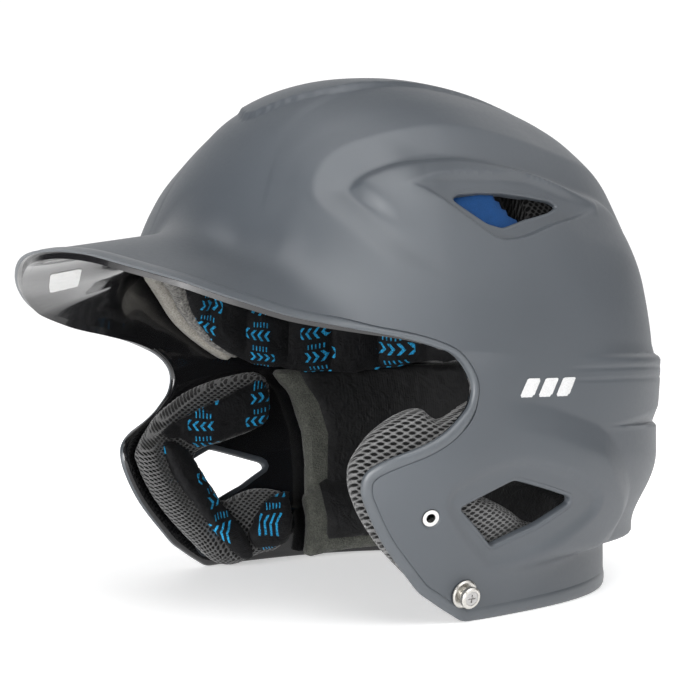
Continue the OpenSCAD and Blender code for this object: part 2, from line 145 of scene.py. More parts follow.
def outer_radius(az, el, brim=True):
    a = np.abs(turn(az))
    body = body_radius(a, el)
    if not brim:
        return body
    cone = brim_radius(a, el)
    blend = np.maximum(BRIM_FILLET - np.abs(body - cone), 0) / BRIM_FILLET
    share = (1 - smooth((el - curve(a, BRIM_EDGE) - 25) / 15)) * (1 - smooth((a - 66) / 20))
    full = mix(body, np.maximum(body, cone) + blend * blend * BRIM_FILLET / 4, share)
    return np.where(a > 86, body, full)


def direction(az, el):
    a, e = np.radians(az), np.radians(el)
    return np.stack([np.cos(e) * np.sin(a), -np.cos(e) * np.cos(a), np.sin(e)], -1)


def surface(az, el, brim=True):
    az, el = np.broadcast_arrays(np.asarray(az, float), np.asarray(el, float))
    rho = outer_radius(az, el, brim) / np.cos(np.radians(el))
    return CENTRE + rho[..., None] * direction(az, el)


def outward(az, el, brim=True, e=0.25):
    n = np.cross(surface(az + e, el, brim) - surface(az - e, el, brim),
                 surface(az, el + e, brim) - surface(az, el - e, brim))
    return n / np.linalg.norm(n, axis=-1, keepdims=True)


def places(points):
    """Azimuth and elevation of points in millimetres."""
    q = points - CENTRE
    return (np.degrees(np.arctan2(q[..., 0], -q[..., 1])),
            np.degrees(np.arctan2(q[..., 2], np.hypot(q[..., 0], q[..., 1]))))


# ---------------------------------------------------------------- outlines and distances
def trail(outline, closed=True, spacing=0.4, brim=True):
    """Closely spaced places and points along an outline."""
    p = np.asarray(outline, float)
    if closed:
        p = np.vstack([p, p[:1]])
    s = surface(p[:, 0], p[:, 1], brim)
    steps = np.maximum(np.ceil(np.linalg.norm(np.diff(s, axis=0), axis=1) / spacing), 1).astype(int)
    q = np.vstack([mix(p[i], p[i + 1], np.linspace(0, 1, n, endpoint=False)[:, None]) for i, n in enumerate(steps)])
    return q, surface(q[:, 0], q[:, 1], brim)


def gap(points, line):
    tree = KDTree(len(line))
    for i, p in enumerate(line):
        tree.insert(p, i)
    tree.balance()
    return np.array([tree.find(p)[2] for p in points])


def inside(az, el, outline):
    p = np.asarray(outline, float)
    q = np.roll(p, -1, 0)
    hit = np.zeros(np.shape(az), bool)
    for (x, y), (u, v) in zip(p, q):
        if y != v:
            hit ^= ((y > el) != (v > el)) & (az < x + (u - x) * (el - y) / (v - y))
    return hit


def depth_in(az, el, points, outline, brim=True):
    """Distance in millimetres from an outline, positive inside it."""
    d = gap(points, trail(outline, True, 0.4, brim)[1])
    return np.where(inside(az, el, outline), d, -d)


# ---------------------------------------------------------------- relief of the shell
OUTER_CREST = [(38.2, 44.5), (46.4, 50.5), (55, 53), (71.7, 54.8), (85.6, 54.8), (98, 53.8), (112, 50.3), (130, 43)]
VALLEY = [(143, 33), (133, 39.6), (120, 43.7), (107, 47.4), (93, 49.5), (80, 50.2), (69.5, 49.7), (58.6, 48),
          (49.8, 45.8), (46.8, 43.4), (47.6, 41), (55.6, 33.9), (63.7, 27.4), (72, 22)]
HOOD_LOW = [(61, 41.3), (67, 43.6), (77.7, 45.5), (95, 46.4), (104.7, 44.9), (114, 42.3), (122.5, 39.2)]
RECESS_LOW = [(122, 38.4), (103.6, 36.9), (92.2, 34.6), (86, 33.5), (81.3, 33.5), (75.5, 35.8), (68, 39)]
# Half width of the crown plate against Y
CROWN_PLATE = [(-51, -3), (-49.5, 3), (-47, 9), (-42.6, 15.7), (-35, 26), (-25, 34), (-4.4, 41), (20, 45), (60, 46)]
EAR_BULGE = [(60, 3.5), (78.5, 2.3), (91.6, 0.8), (101.5, -1.8), (111.4, -4.9), (118.1, -10.9), (124.5, -17),
             (126.8, -23), (122, -30.4), (112.4, -33.8), (98, -35), (84, -35), (70, -33), (52, -24), (46, -12)]
EAR_FRAME = [(66.8, -17), (71.2, -13.3), (83.1, -10.3), (94, -12), (102.5, -14.5), (110.5, -19.9), (101.5, -27),
             (90.8, -31.2), (82, -32), (78, -30), (71, -24)]


def ramp(x, *pairs):
    return np.interp(x, [p[0] for p in pairs], [p[1] for p in pairs])


def soft_ramp(x, a, b):
    return smooth((x - a) / (b - a))


def eased(x, width, *pairs):
    """Ramp whose corners are rounded over a width in millimetres."""
    return sum(ramp(x + k * width, *pairs) for k in (-0.5, -0.25, 0, 0.25, 0.5)) / 5


def relief(az, el):
    """Height of the moulded relief over the plain surface."""
    a, el = np.broadcast_arrays(np.abs(turn(np.asarray(az, float))), np.asarray(el, float))
    shape = a.shape
    a, el = a.ravel(), el.ravel()
    p = surface(a, el)
    z = p[:, 2]
    h = np.zeros(len(a))

    # the swept band over the side vent: a facet falling to a valley, then a hood
    near = (el > 8) & (a > 25) & (a < 170)
    b, e, q = a[near], el[near], p[near]
    valley = np.vstack([rounded(VALLEY, 4, False), [(95, 5), (140, 5), (160, 20)]])
    x = depth_in(b, e, q, valley)
    lower = soft_ramp(e, 42, 32)
    fade = soft_ramp(e, 21, 30) * soft_ramp(b, 158, 134)
    upper = eased(x, 2.0, (-38, 0), (-24, 0.6), (-13, 1.5), (0, -2.6), (0.6, -2.6), (5.5, 0.1), (8, 0.3), (24, 0))
    arm = eased(x, 3.0, (-24, 0), (-11, 0.2), (-1, -1.5), (2, -1.55), (26, 0))
    band = fade * mix(upper, arm, lower)
    # the recess round the vent
    recess = np.vstack([rounded(HOOD_LOW, 4, False), rounded(RECESS_LOW, 4, False)])
    r = depth_in(b, e, q, recess)
    tip = soft_ramp(b, 60, 72) * soft_ramp(b, 124, 108)
    band += -2.9 * tip * soft_ramp(r, -0.4, 2.4)
    crest = gap(q, trail(rounded(HOOD_LOW, 4, False), False)[1])
    band += 0.5 * fade * soft_ramp(crest, 5, 0) * soft_ramp(r, 1.6, -0.8)
    swell = 2.4 * soft_ramp(b, 112, 136) * soft_ramp(e, 16, 32) * soft_ramp(e, 68, 50)
    h[near] += band + swell

    # the raised panel round the ear and the sunk frame of its opening
    near = (el < 12) & (a > 35) & (a < 140)
    b, e, q = a[near], el[near], p[near]
    bulge = depth_in(b, e, q, rounded(EAR_BULGE, 4))
    frame_in = depth_in(b, e, q, rounded(EAR_FRAME, 4))
    rise = 3.3 * soft_ramp(b, 74, 98) * eased(bulge, 1.5, (0, 0), (1, 0.08), (10.5, 0.95), (13, 1))
    sunk = -1.5 * soft_ramp(frame_in, -1.5, 3.0)
    h[near] += rise * (1 - 0.25 * soft_ramp(frame_in, -2, 2)) + sunk

    # the belt round the back, the wedge cut under it and the ledge below
    back = soft_ramp(a, 100, 128)
    top = 100.5
    belt = ramp(z, (70, 0), (73, 0.4), (86, 1.5), (98.2, 2.6), (99.6, 2.2), (top + 0.8, 0), (top + 5, -0.6), (top + 20, 0))
    h += back * belt
    line = lambda level: -0.3 * np.exp(-((z - level) / 0.55) ** 2)
    h += soft_ramp(a, 96, 108) * (line(95.5) + 0.7 * line(91.0))
    wedge = soft_ramp(a, 110, 150)
    ledge = mix(72.2, 70, soft_ramp(a, 111, 150))
    width = mix(0.8, 9.5, wedge)
    cut = ramp((z - ledge) / width, (-0.02, 0), (0.12, -1), (0.3, -0.9), (1, 0))
    h += mix(0.0, 1.9, soft_ramp(a, 110, 135)) * cut

    # the raised plate along the crown, its edge swept back from the front
    side = np.abs(p[:, 0])
    edge = curve(p[:, 1], CROWN_PLATE)
    h += (1.4 * soft_ramp(edge - side, -0.9, 0.9) - 1.0) * soft_ramp(z, 166, 188) * soft_ramp(p[:, 1], 70, 20)
    wing = soft_ramp(p[:, 1], -62, -30) * soft_ramp(z, 160, 190) * soft_ramp(p[:, 1], -8, -24)
    h += 0.8 * wing * (soft_ramp(29 + 0.22 * (p[:, 1] + 40) - side, -5, 0.6) - 0.6)
    # the outside never sinks into the plain inside skin
    return np.maximum(h, -3.1).reshape(shape)


def skin(az, el):
    """Points of the visible outer surface, relief included."""
    return surface(az, el) + relief(az, el)[..., None] * direction(az, el)


# ---------------------------------------------------------------- meshes
def mesh_object(name, points, faces, materials, face_material=None, sharp=None):
    data = bpy.data.meshes.new(name)
    data.from_pydata((np.asarray(points) * MM).tolist(), [], faces)
    for m in materials:
        data.materials.append(m)
    data.polygons.foreach_set("use_smooth", [True] * len(faces))
    if face_material is not None:
        data.polygons.foreach_set("material_index", np.asarray(face_material, np.int32))
    data.validate()
    if sharp:
        data.set_sharp_from_angle(angle=math.radians(sharp))
    obj = bpy.data.objects.new(name, data)
    bpy.context.scene.collection.objects.link(obj)
    return obj


def trimmed(columns, rows, value, wraps=False):
    """Places and faces of a grid whose points are moved onto the outline where value is 0."""
    A, E = np.meshgrid(columns, rows, indexing="ij")
    V = value(A.ravel(), E.ravel()).reshape(A.shape)
    nc, nr = A.shape
    best = np.full(V.shape, 9.0)
    NA, NE = A.copy(), E.copy()
    for di, dj in ((1, 0), (-1, 0), (0, 1), (0, -1)):
        W = np.roll(V, (-di, -dj), (0, 1))
        to_a = turn(np.roll(A, (-di, -dj), (0, 1)) - A)
        to_e = np.roll(E, (-di, -dj), (0, 1)) - E
        ok = np.ones(V.shape, bool)
        if not wraps and di:
            ok[-1 if di > 0 else 0] = False
        if dj:
            ok[:, -1 if dj > 0 else 0] = False
        t = np.where(V != W, V / np.where(V != W, V - W, 1), 9)
        hit = ok & (V * W < 0) & (np.abs(V) <= np.abs(W)) & (t < best)
        best = np.where(hit, t, best)
        NA = np.where(hit, A + to_a * t, NA)
        NE = np.where(hit, E + to_e * t, NE)
    state = np.where(best < 9, 0, np.where(V > 0, 1, -1))
    number = np.arange(nc * nr).reshape(nc, nr)
    i = np.arange(nc if wraps else nc - 1)
    j = np.arange(nr - 1)
    I, J = np.meshgrid(i, j, indexing="ij")
    K = (I + 1) % nc
    quad = np.stack([number[I, J], number[K, J], number[K, J + 1], number[I, J + 1]], -1).reshape(-1, 4)
    s = state.ravel()[quad]
    whole = quad[(s >= 0).all(1) & (s > 0).any(1)]
    faces = whole.tolist()
    part = ((s < 0).sum(1) == 1) & (s > 0).any(1)
    for q, t in zip(quad[part], s[part]):
        faces.append([int(v) for v, k in zip(q, t) if k >= 0])
    used = np.unique(np.concatenate([np.array(f) for f in ([whole.ravel()] if len(whole) else [])]
                                    + [np.array(f) for f in faces[len(whole):]]))
    remap = np.full(nc * nr, -1)
    remap[used] = np.arange(len(used))
    faces = [[int(remap[v]) for v in f] for f in faces]
    return NA.ravel()[used], NE.ravel()[used], faces, state.ravel()[used]


def stepped(coarse, fine, *stops):
    """Grid lines between stops, alternately coarse and fine."""
    lines = [np.array([stops[0]], float)]
    for i, (low, high) in enumerate(zip(stops, stops[1:])):
        count = round((high - low) / (fine if i % 2 else coarse))
        lines.append(np.linspace(low, high, count + 1)[1:])
    return np.concatenate(lines)


def border(faces):
    edges = {}
    for f in faces:
        for a, b in zip(f, f[1:] + f[:1]):
            if (b, a) in edges:
                del edges[(b, a)]
            else:
                edges[(a, b)] = True
    return list(edges)


def closed(outer, inner, faces):
    """A solid between two sheets that share their faces."""
    n = len(outer)
    walls = [[b, a, a + n, b + n] for a, b in border(faces)]
    return np.vstack([outer, inner]), faces + [[v + n for v in reversed(f)] for f in faces] + walls


def mirrored(obj, name):
    data = obj.data.copy()
    xyz = np.empty(len(data.vertices) * 3, np.float32)
    data.vertices.foreach_get("co", xyz)
    xyz[0::3] *= -1
    data.vertices.foreach_set("co", xyz)
    data.flip_normals()
    other = bpy.data.objects.new(name, data)
    data.name = name
    bpy.context.scene.collection.objects.link(other)
    return other


def stamp(obj):
    """Stores flat coordinates in millimetres along the helmet for woven and printed patterns."""
    data = obj.data
    xyz = np.empty(len(data.vertices) * 3, np.float32)
    data.vertices.foreach_get("co", xyz)
    p = xyz.reshape(-1, 3) / MM
    az, el = places(p)
    depth = outer_radius(az, el, False) / np.cos(np.radians(el)) - np.linalg.norm(p - CENTRE, axis=1)
    flat = np.stack([np.radians(np.abs(az)) * 96 + depth, np.radians(el) * 112 + depth, depth], -1)
    layer = data.attributes.new("flat", "FLOAT_VECTOR", "POINT")
    layer.data.foreach_set("vector", flat.astype(np.float32).ravel())
    return obj


# ---------------------------------------------------------------- materials
class Shader:
    """A procedural material built on the Principled shader."""

    def __init__(self, name, **values):
        self.mat = bpy.data.materials.new(name)
        self.mat.use_nodes = True
        self.tree = self.mat.node_tree
        self.bsdf = self.tree.nodes["Principled BSDF"]
        for key, value in values.items():
            self.put(key.replace("_", " "), value)
        coords = self.tree.nodes.new("ShaderNodeTexCoord")
        self.mm = self.vector("SCALE", coords.outputs["Object"], scale=1000.0)

    def wire(self, socket, value):
        if isinstance(value, bpy.types.NodeSocket):
            self.tree.links.new(value, socket)
        else:
            socket.default_value = value

    def put(self, key, value):
        self.wire(self.bsdf.inputs[key], value)
        return self

    def math(self, op, *values, clamp=False):
        node = self.tree.nodes.new("ShaderNodeMath")
        node.operation, node.use_clamp = op, clamp
        for socket, value in zip(node.inputs, values):
            self.wire(socket, value)
        return node.outputs[0]

    def vector(self, op, a, b=None, scale=None):
        node = self.tree.nodes.new("ShaderNodeVectorMath")
        node.operation = op
        self.wire(node.inputs[0], a)
        if b is not None:
            self.wire(node.inputs[1], b)
        if scale is not None:
            node.inputs["Scale"].default_value = scale
        return node.outputs[0]

    def noise(self, scale, detail=2.0, rough=0.5, distortion=0.0, where=None):
        node = self.tree.nodes.new("ShaderNodeTexNoise")
        self.wire(node.inputs["Vector"], self.mm if where is None else where)
        for key, value in (("Scale", scale), ("Detail", detail), ("Roughness", rough), ("Distortion", distortion)):
            node.inputs[key].default_value = value
        return node.outputs[0]

    def cells(self, scale, feature="F1", where=None):
        node = self.tree.nodes.new("ShaderNodeTexVoronoi")
        node.feature = feature
        self.wire(node.inputs["Vector"], self.mm if where is None else where)
        node.inputs["Scale"].default_value = scale
        return node.outputs

    def spread(self, value, low, high, from_low=0.0, from_high=1.0):
        node = self.tree.nodes.new("ShaderNodeMapRange")
        for key, v in (("Value", value), ("From Min", from_low), ("From Max", from_high), ("To Min", low), ("To Max", high)):
            self.wire(node.inputs[key], v)
        return node.outputs[0]

    def blend(self, factor, a, b):
        node = self.tree.nodes.new("ShaderNodeMix")
        node.data_type = "RGBA"
        colour = lambda c: c if isinstance(c, bpy.types.NodeSocket) else (*c, 1.0)
        self.wire(node.inputs[0], factor)
        self.wire(node.inputs[6], colour(a))
        self.wire(node.inputs[7], colour(b))
        return node.outputs[2]

    def bump(self, *layers):
        """Layers of (height socket, distance in millimetres)."""
        normal = None
        for height, distance in layers:
            node = self.tree.nodes.new("ShaderNodeBump")
            node.inputs["Distance"].default_value = distance * MM
            self.wire(node.inputs["Height"], height)
            if normal is not None:
                self.wire(node.inputs["Normal"], normal)
            normal = node.outputs[0]
        return self.put("Normal", normal)

    def flat(self):
        """Flat pattern coordinates in millimetres, as two sockets."""
        node = self.tree.nodes.new("ShaderNodeAttribute")
        node.attribute_name = "flat"
        split = self.tree.nodes.new("ShaderNodeSeparateXYZ")
        self.tree.links.new(node.outputs["Vector"], split.inputs[0])
        return split.outputs[0], split.outputs[1]


def paint(name, shade, rough, grain=1.0):
    s = Shader(name)
    broad = s.noise(0.018, 2)
    mottle = s.noise(0.55, 3, 0.6)
    fine = s.noise(3.2, 2)
    dark, light = [c * 0.93 for c in shade], [c * 1.07 for c in shade]
    tone = s.math("ADD", s.math("MULTIPLY", broad, 0.6), s.math("MULTIPLY", mottle, 0.4 * grain))
    s.put("Base Color", s.blend(s.spread(tone, 0, 1, 0.3, 0.7), dark, light))
    s.put("Roughness", s.spread(s.math("ADD", mottle, broad), rough - 0.05, rough + 0.06, 0.6, 1.4))
    s.put("Specular IOR Level", 0.85)
    s.bump((fine, 0.018 * grain), (mottle, 0.02))
    return s.mat


def foam(name, low, high, cell=1.1, depth=0.35, rough=0.9, sheen=0.15):
    s = Shader(name)
    grain = s.cells(cell)[0]
    patch = s.noise(0.25, 3, 0.6)
    mask = s.math("ADD", s.math("MULTIPLY", grain, 0.55), s.math("MULTIPLY", patch, 0.6), clamp=True)
    s.put("Base Color", s.blend(s.spread(mask, 0, 1, 0.25, 0.85), low, high))
    s.put("Roughness", rough).put("Specular IOR Level", 0.25).put("Sheen Weight", sheen)
    s.bump((grain, depth), (s.noise(1.6, 3), 0.2))
    return s.mat


def metal(name, shade, rough, scratch=1.0):
    s = Shader(name, Metallic=1.0)
    streak = s.noise(6.0, 4, 0.7, 0.8)
    smudge = s.noise(0.6, 3)
    s.put("Base Color", s.blend(smudge, [c * 0.82 for c in shade], shade))
    s.put("Roughness", s.spread(s.math("ADD", streak, smudge), rough - 0.07, rough + 0.14, 0.7, 1.4))
    s.bump((streak, 0.012 * scratch))
    return s.mat


def knit(s, u, v, across=0.75, along=0.5):
    """Height of a fine knit."""
    rib = s.math("ABSOLUTE", s.math("SINE", s.math("MULTIPLY", u, math.pi / across)))
    stitch = s.math("ABSOLUTE", s.math("SINE", s.math("ADD", s.math("MULTIPLY", v, math.pi / along), s.math("MULTIPLY", rib, 1.2))))
    return s.math("ADD", s.math("MULTIPLY", rib, 0.6), s.math("MULTIPLY", stitch, 0.4))


def fabric(name, base, sheen, printed=False):
    s = Shader(name)
    u, v = s.flat()
    weave = knit(s, u, v)
    fold = s.noise(0.16, 2, 0.55, 0.6)
    colour = s.blend(s.math("MULTIPLY", weave, fold), [c * 0.55 for c in base], [c * 1.7 for c in base])
    s.put("Roughness", s.spread(fold, 0.48, 0.74)).put("Specular IOR Level", 0.28)
    s.put("Sheen Weight", sheen).put("Sheen Roughness", 0.4)
    if printed:
        wobble = s.math("MULTIPLY", s.math("SUBTRACT", s.noise(0.12), 0.5), 3.0)
        row = s.math("DIVIDE", s.math("ADD", v, wobble), 15.0)
        number = s.math("FLOOR", row)
        fv = s.math("MULTIPLY", s.math("SUBTRACT", row, number), 15.0)
        odd = s.math("MODULO", s.math("ADD", number, 40.0), 2.0)
        flip = s.math("SUBTRACT", s.math("MULTIPLY", odd, 2.0), 1.0)
        shifted = s.math("ADD", s.math("MULTIPLY", s.math("ADD", u, 200.0), flip), s.math("MULTIPLY", odd, 19.5))
        fu = s.math("MULTIPLY", s.math("FRACT", s.math("DIVIDE", s.math("ADD", shifted, 1950.0), 39.0)), 39.0)
        rise = s.math("ABSOLUTE", s.math("SUBTRACT", fv, 4.6))
        slant = s.math("ADD", s.math("ADD", fu, 20.0), s.math("MULTIPLY", rise, 0.8))
        stripe = s.math("LESS_THAN", s.math("MODULO", slant, 5.0), 1.9)
        body = s.math("MULTIPLY", s.math("LESS_THAN", rise, 3.3), s.math("COMPARE", fu, 11.0, 9.2))
        ticks = s.math("LESS_THAN", s.math("MODULO", s.math("ADD", fu, 0.4), 2.4), 0.8)
        bar = s.math("MULTIPLY", s.math("COMPARE", fv, 11.2, 1.5), s.math("COMPARE", fu, 9.0, 6.2))
        mark = s.math("MAXIMUM", s.math("MULTIPLY", stripe, body), s.math("MULTIPLY", ticks, bar))
        print_wear_and_thread_sheen = s.math("MULTIPLY", mark, s.spread(s.noise(1.3, 3), 0.35, 1.0, 0.38, 0.56))
        colour = s.blend(print_wear_and_thread_sheen, colour, (0.025, 0.42, 0.80))
    s.put("Base Color", colour)
    s.bump((weave, 0.14), (fold, 1.1), (s.noise(0.5, 3, 0.6), 0.35))
    return s.mat


HOLE_U, HOLE_V = 4.2, 2.6


def mesh_cloth(name, light, sheen=0.3):
    """Spacer mesh: staggered oval holes painted near black as their shade, between threads of one lightness with
    painted sheen along the strands.
    """
    s = Shader(name)
    u, v = s.flat()

    def lattice(offset):
        a = s.math("SUBTRACT", s.math("FRACT", s.math("ADD", s.math("DIVIDE", u, HOLE_U), 50.0 + offset)), 0.5)
        b = s.math("SUBTRACT", s.math("FRACT", s.math("ADD", s.math("DIVIDE", v, HOLE_V), 50.0 + offset)), 0.5)
        return s.math("ADD", s.math("POWER", s.math("ABSOLUTE", s.math("MULTIPLY", a, 2.5)), 2.0),
                      s.math("POWER", s.math("ABSOLUTE", s.math("MULTIPLY", b, 2.9)), 2.0))

    well = s.math("MINIMUM", lattice(0.0), lattice(0.5))
    thread = s.spread(well, 0.0, 1.0, 0.35, 0.8)
    strand = s.noise(4.0, 2, 0.6, 0.5)
    # the thread tone varies along the strands, partly real tone and partly painted sheen of the yarn
    print_wear_and_thread_sheen = s.blend(strand, (light * 0.17,) * 3, (light,) * 3)
    # the holes are painted near black as painted shade in the openings
    s.put("Base Color", s.blend(thread, (0.003, 0.003, 0.003), print_wear_and_thread_sheen))
    s.put("Roughness", 0.62).put("Sheen Weight", sheen).put("Specular IOR Level", s.math("MULTIPLY", thread, sheen + 0.1))
    s.bump((thread, 0.7), (strand, 0.12))
    return s.mat


PAINT = paint("shell_paint", (0.045, 0.053, 0.063), 0.50)
LIP = paint("shell_lip", (0.058, 0.067, 0.077), 0.42, 0.5)
gloss = Shader("gloss_black", Base_Color=(0.008, 0.008, 0.009, 1), Coat_Weight=0.6, Coat_Roughness=0.05)
gloss.put("Roughness", gloss.spread(gloss.noise(0.3, 4), 0.10, 0.24)).bump((gloss.noise(0.09, 2), 0.12))
GLOSS = gloss.mat
LIGHT_FOAM = foam("light_foam", (0.20, 0.185, 0.16), (0.42, 0.40, 0.36), 1.3, 0.3)
SPECKLED = foam("speckled_foam", (0.03, 0.03, 0.03), (0.27, 0.26, 0.24), 0.75, 0.6)
BLACK_FOAM = foam("black_foam", (0.006, 0.006, 0.006), (0.03, 0.03, 0.03), 1.0, 0.3)
BLUE_FOAM = foam("blue_foam", (0.0004, 0.026, 0.092), (0.0006, 0.034, 0.125), 1.6, 0.1, 0.8, 0.0)
OLIVE_FOAM = foam("olive_foam", (0.03, 0.032, 0.028), (0.105, 0.108, 0.092), 1.2, 0.35)
PRINTED = fabric("printed_fabric", (0.0045, 0.0045, 0.0055), 0.04, True)
BLACK_CLOTH = fabric("black_fabric", (0.0045, 0.0045, 0.005), 0.08)
MESH_CLOTH = mesh_cloth("spacer_mesh", 0.21)
DARK_MESH = mesh_cloth("dark_spacer_mesh", 0.02, 0.0)
BRIGHT = metal("bright_nickel", (0.78, 0.77, 0.75), 0.16)
SATIN = metal("satin_nickel", (0.66, 0.64, 0.60), 0.28)
STEEL = metal("screw_steel", (0.52, 0.51, 0.50), 0.32, 2.0)
ZINC = metal("zinc_steel", (0.50, 0.50, 0.48), 0.38, 2.0)
HOOK = foam("hook_tape", (0.006, 0.006, 0.006), (0.04, 0.04, 0.04), 2.2, 0.5)
LABEL = foam("label_paper", (0.62, 0.62, 0.61), (0.80, 0.80, 0.79), 3.0, 0.03, 0.45)
WHITE = foam("white_print", (0.52, 0.52, 0.52), (0.66, 0.66, 0.66), 2.0, 0.04, 0.5)


# ---------------------------------------------------------------- pieces
def show(obj, nodes):
    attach(obj, "root")
    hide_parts(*nodes)
    return obj


def rim_loop():
    """Edge of the shell as places with azimuth running from 0 to 360."""
    corners = BRIM_EDGE + FLAP_EDGE + [(84, -75), (-40, -75), (-40, 20)]
    line = rounded(corners, 6)
    start = int(np.argmin(np.abs(line[:, 0]) + np.abs(line[:, 1] - 21)))
    line = line[start:]
    level = surface(line[:, 0], line[:, 1])[:, 2]
    stop = int(np.argmax(level < 0))
    t = level[stop - 1] / (level[stop - 1] - level[stop])
    line = np.vstack([line[:stop], mix(line[stop - 1], line[stop], t)])
    az = np.linspace(line[-1, 0] + 1.5, 180, 80)
    el = np.full(80, -38.0)
    for _ in range(30):
        el = -np.degrees(np.arctan(BELT / outer_radius(az, el)))
    half = np.vstack([line, np.stack([az, el], 1)])
    half = half[np.concatenate([[True], np.diff(half[:, 0]) ** 2 + np.diff(half[:, 1]) ** 2 > 1e-6])]
    other = half[-2:0:-1].copy()
    other[:, 0] = 360 - other[:, 0]
    full = np.vstack([half, other])
    # even spacing, then light smoothing of the corners
    turnover = np.vstack([full, full[:1] + [360, 0]])
    length = np.concatenate([[0], np.cumsum(np.linalg.norm(np.diff(surface(turnover[:, 0], turnover[:, 1]), axis=0), axis=1))])
    count = int(length[-1] / (1.3))
    at = np.linspace(0, length[-1], count, endpoint=False)
    even = np.stack([np.interp(at, length, turnover[:, k]) for k in (0, 1)], 1)
    drift = np.linspace(0, 360, count, endpoint=False)
    even[:, 0] -= drift
    for _ in range(3):
        even = (np.roll(even, 1, 0) + 2 * even + np.roll(even, -1, 0)) / 4
    even[:, 0] += drift
    return even


def frames(loop):
    """Points, tangents into the shell and normals along a closed loop of places."""
    az, el = loop[:, 0], loop[:, 1]
    p, n = skin(az, el), outward(az, el)
    before, after = np.roll(p, 1, 0), np.roll(p, -1, 0)
    along = after - before
    into = np.cross(n, along)
    into /= np.linalg.norm(into, axis=1, keepdims=True)
    return p, into, n


def slim(az, el):
    """Share by which the rolled edge narrows at the temples."""
    a = np.abs(turn(az))
    return 1 - 0.36 * soft_ramp(a, 44, 54) * soft_ramp(a, 84, 74) * soft_ramp(el, -3, 3)


def lip(loop, profile, hole=False, widths=None):
    """Sweeps a profile of (distance into the shell, depth) pairs round a loop."""
    p, into, n = frames(loop)
    flip = 1 if not hole or np.sum(into * (p - p.mean(0))) > 0 else -1
    into = into * flip
    for _ in range(3):
        into = (np.roll(into, 1, 0) + 2 * into + np.roll(into, -1, 0)) / 4
    into /= np.linalg.norm(into, axis=1, keepdims=True)
    count = len(loop)
    rows = []
    for s, d in profile:
        w = np.full(count, s, float) if widths is None else s * widths
        # follow the curved wall
        step = p + into * w[:, None]
        az, el = places(step)
        base = skin(az, el) if s > 0.8 else step
        nn = outward(az, el) if s > 0.8 else n
        rows.append(base - nn * d)
    points = np.concatenate(rows)
    faces = []
    for k in range(len(profile) - 1):
        for i in range(count):
            j = (i + 1) % count
            f = [k * count + i, k * count + j, (k + 1) * count + j, (k + 1) * count + i]
            faces.append(f if flip < 0 else f[::-1])
    return points, faces


def circle_places(place, radius, count=40):
    """Places on a circle of the outer surface round a place."""
    centre, n = surface(*place), outward(*place)
    side = np.cross([0, 0, 1], n)
    side /= np.linalg.norm(side)
    up = np.cross(n, side)
    t = np.linspace(0, 2 * np.pi, count, endpoint=False)[:, None]
    az, el = places(centre + radius * (np.cos(t) * side + np.sin(t) * up))
    return np.stack([az, el], 1)


RIM_PROFILE = [(5.2, 0.9), (4.8, 0.42), (4.5, 0.36), (4.2, 0.1), (3.8, -0.2), (3.0, -0.42), (1.9, -0.42), (1.0, -0.22),
               (0.35, 0.25), (0.05, 0.9), (0, 1.6), (0.1, 2.5), (0.5, 3.2), (1.3, 3.55), (3.2, 3.6), (5.5, 3.55)]
HOLE_PROFILE = [(2.4, 0.8), (1.9, 0.3), (1.6, 0.02), (1.2, 0.02), (0.6, 0.1), (0.2, 0.4), (0, 0.9), (0, 2.8), (0.25, 3.3),
                (0.9, 3.6), (2.4, 3.7)]


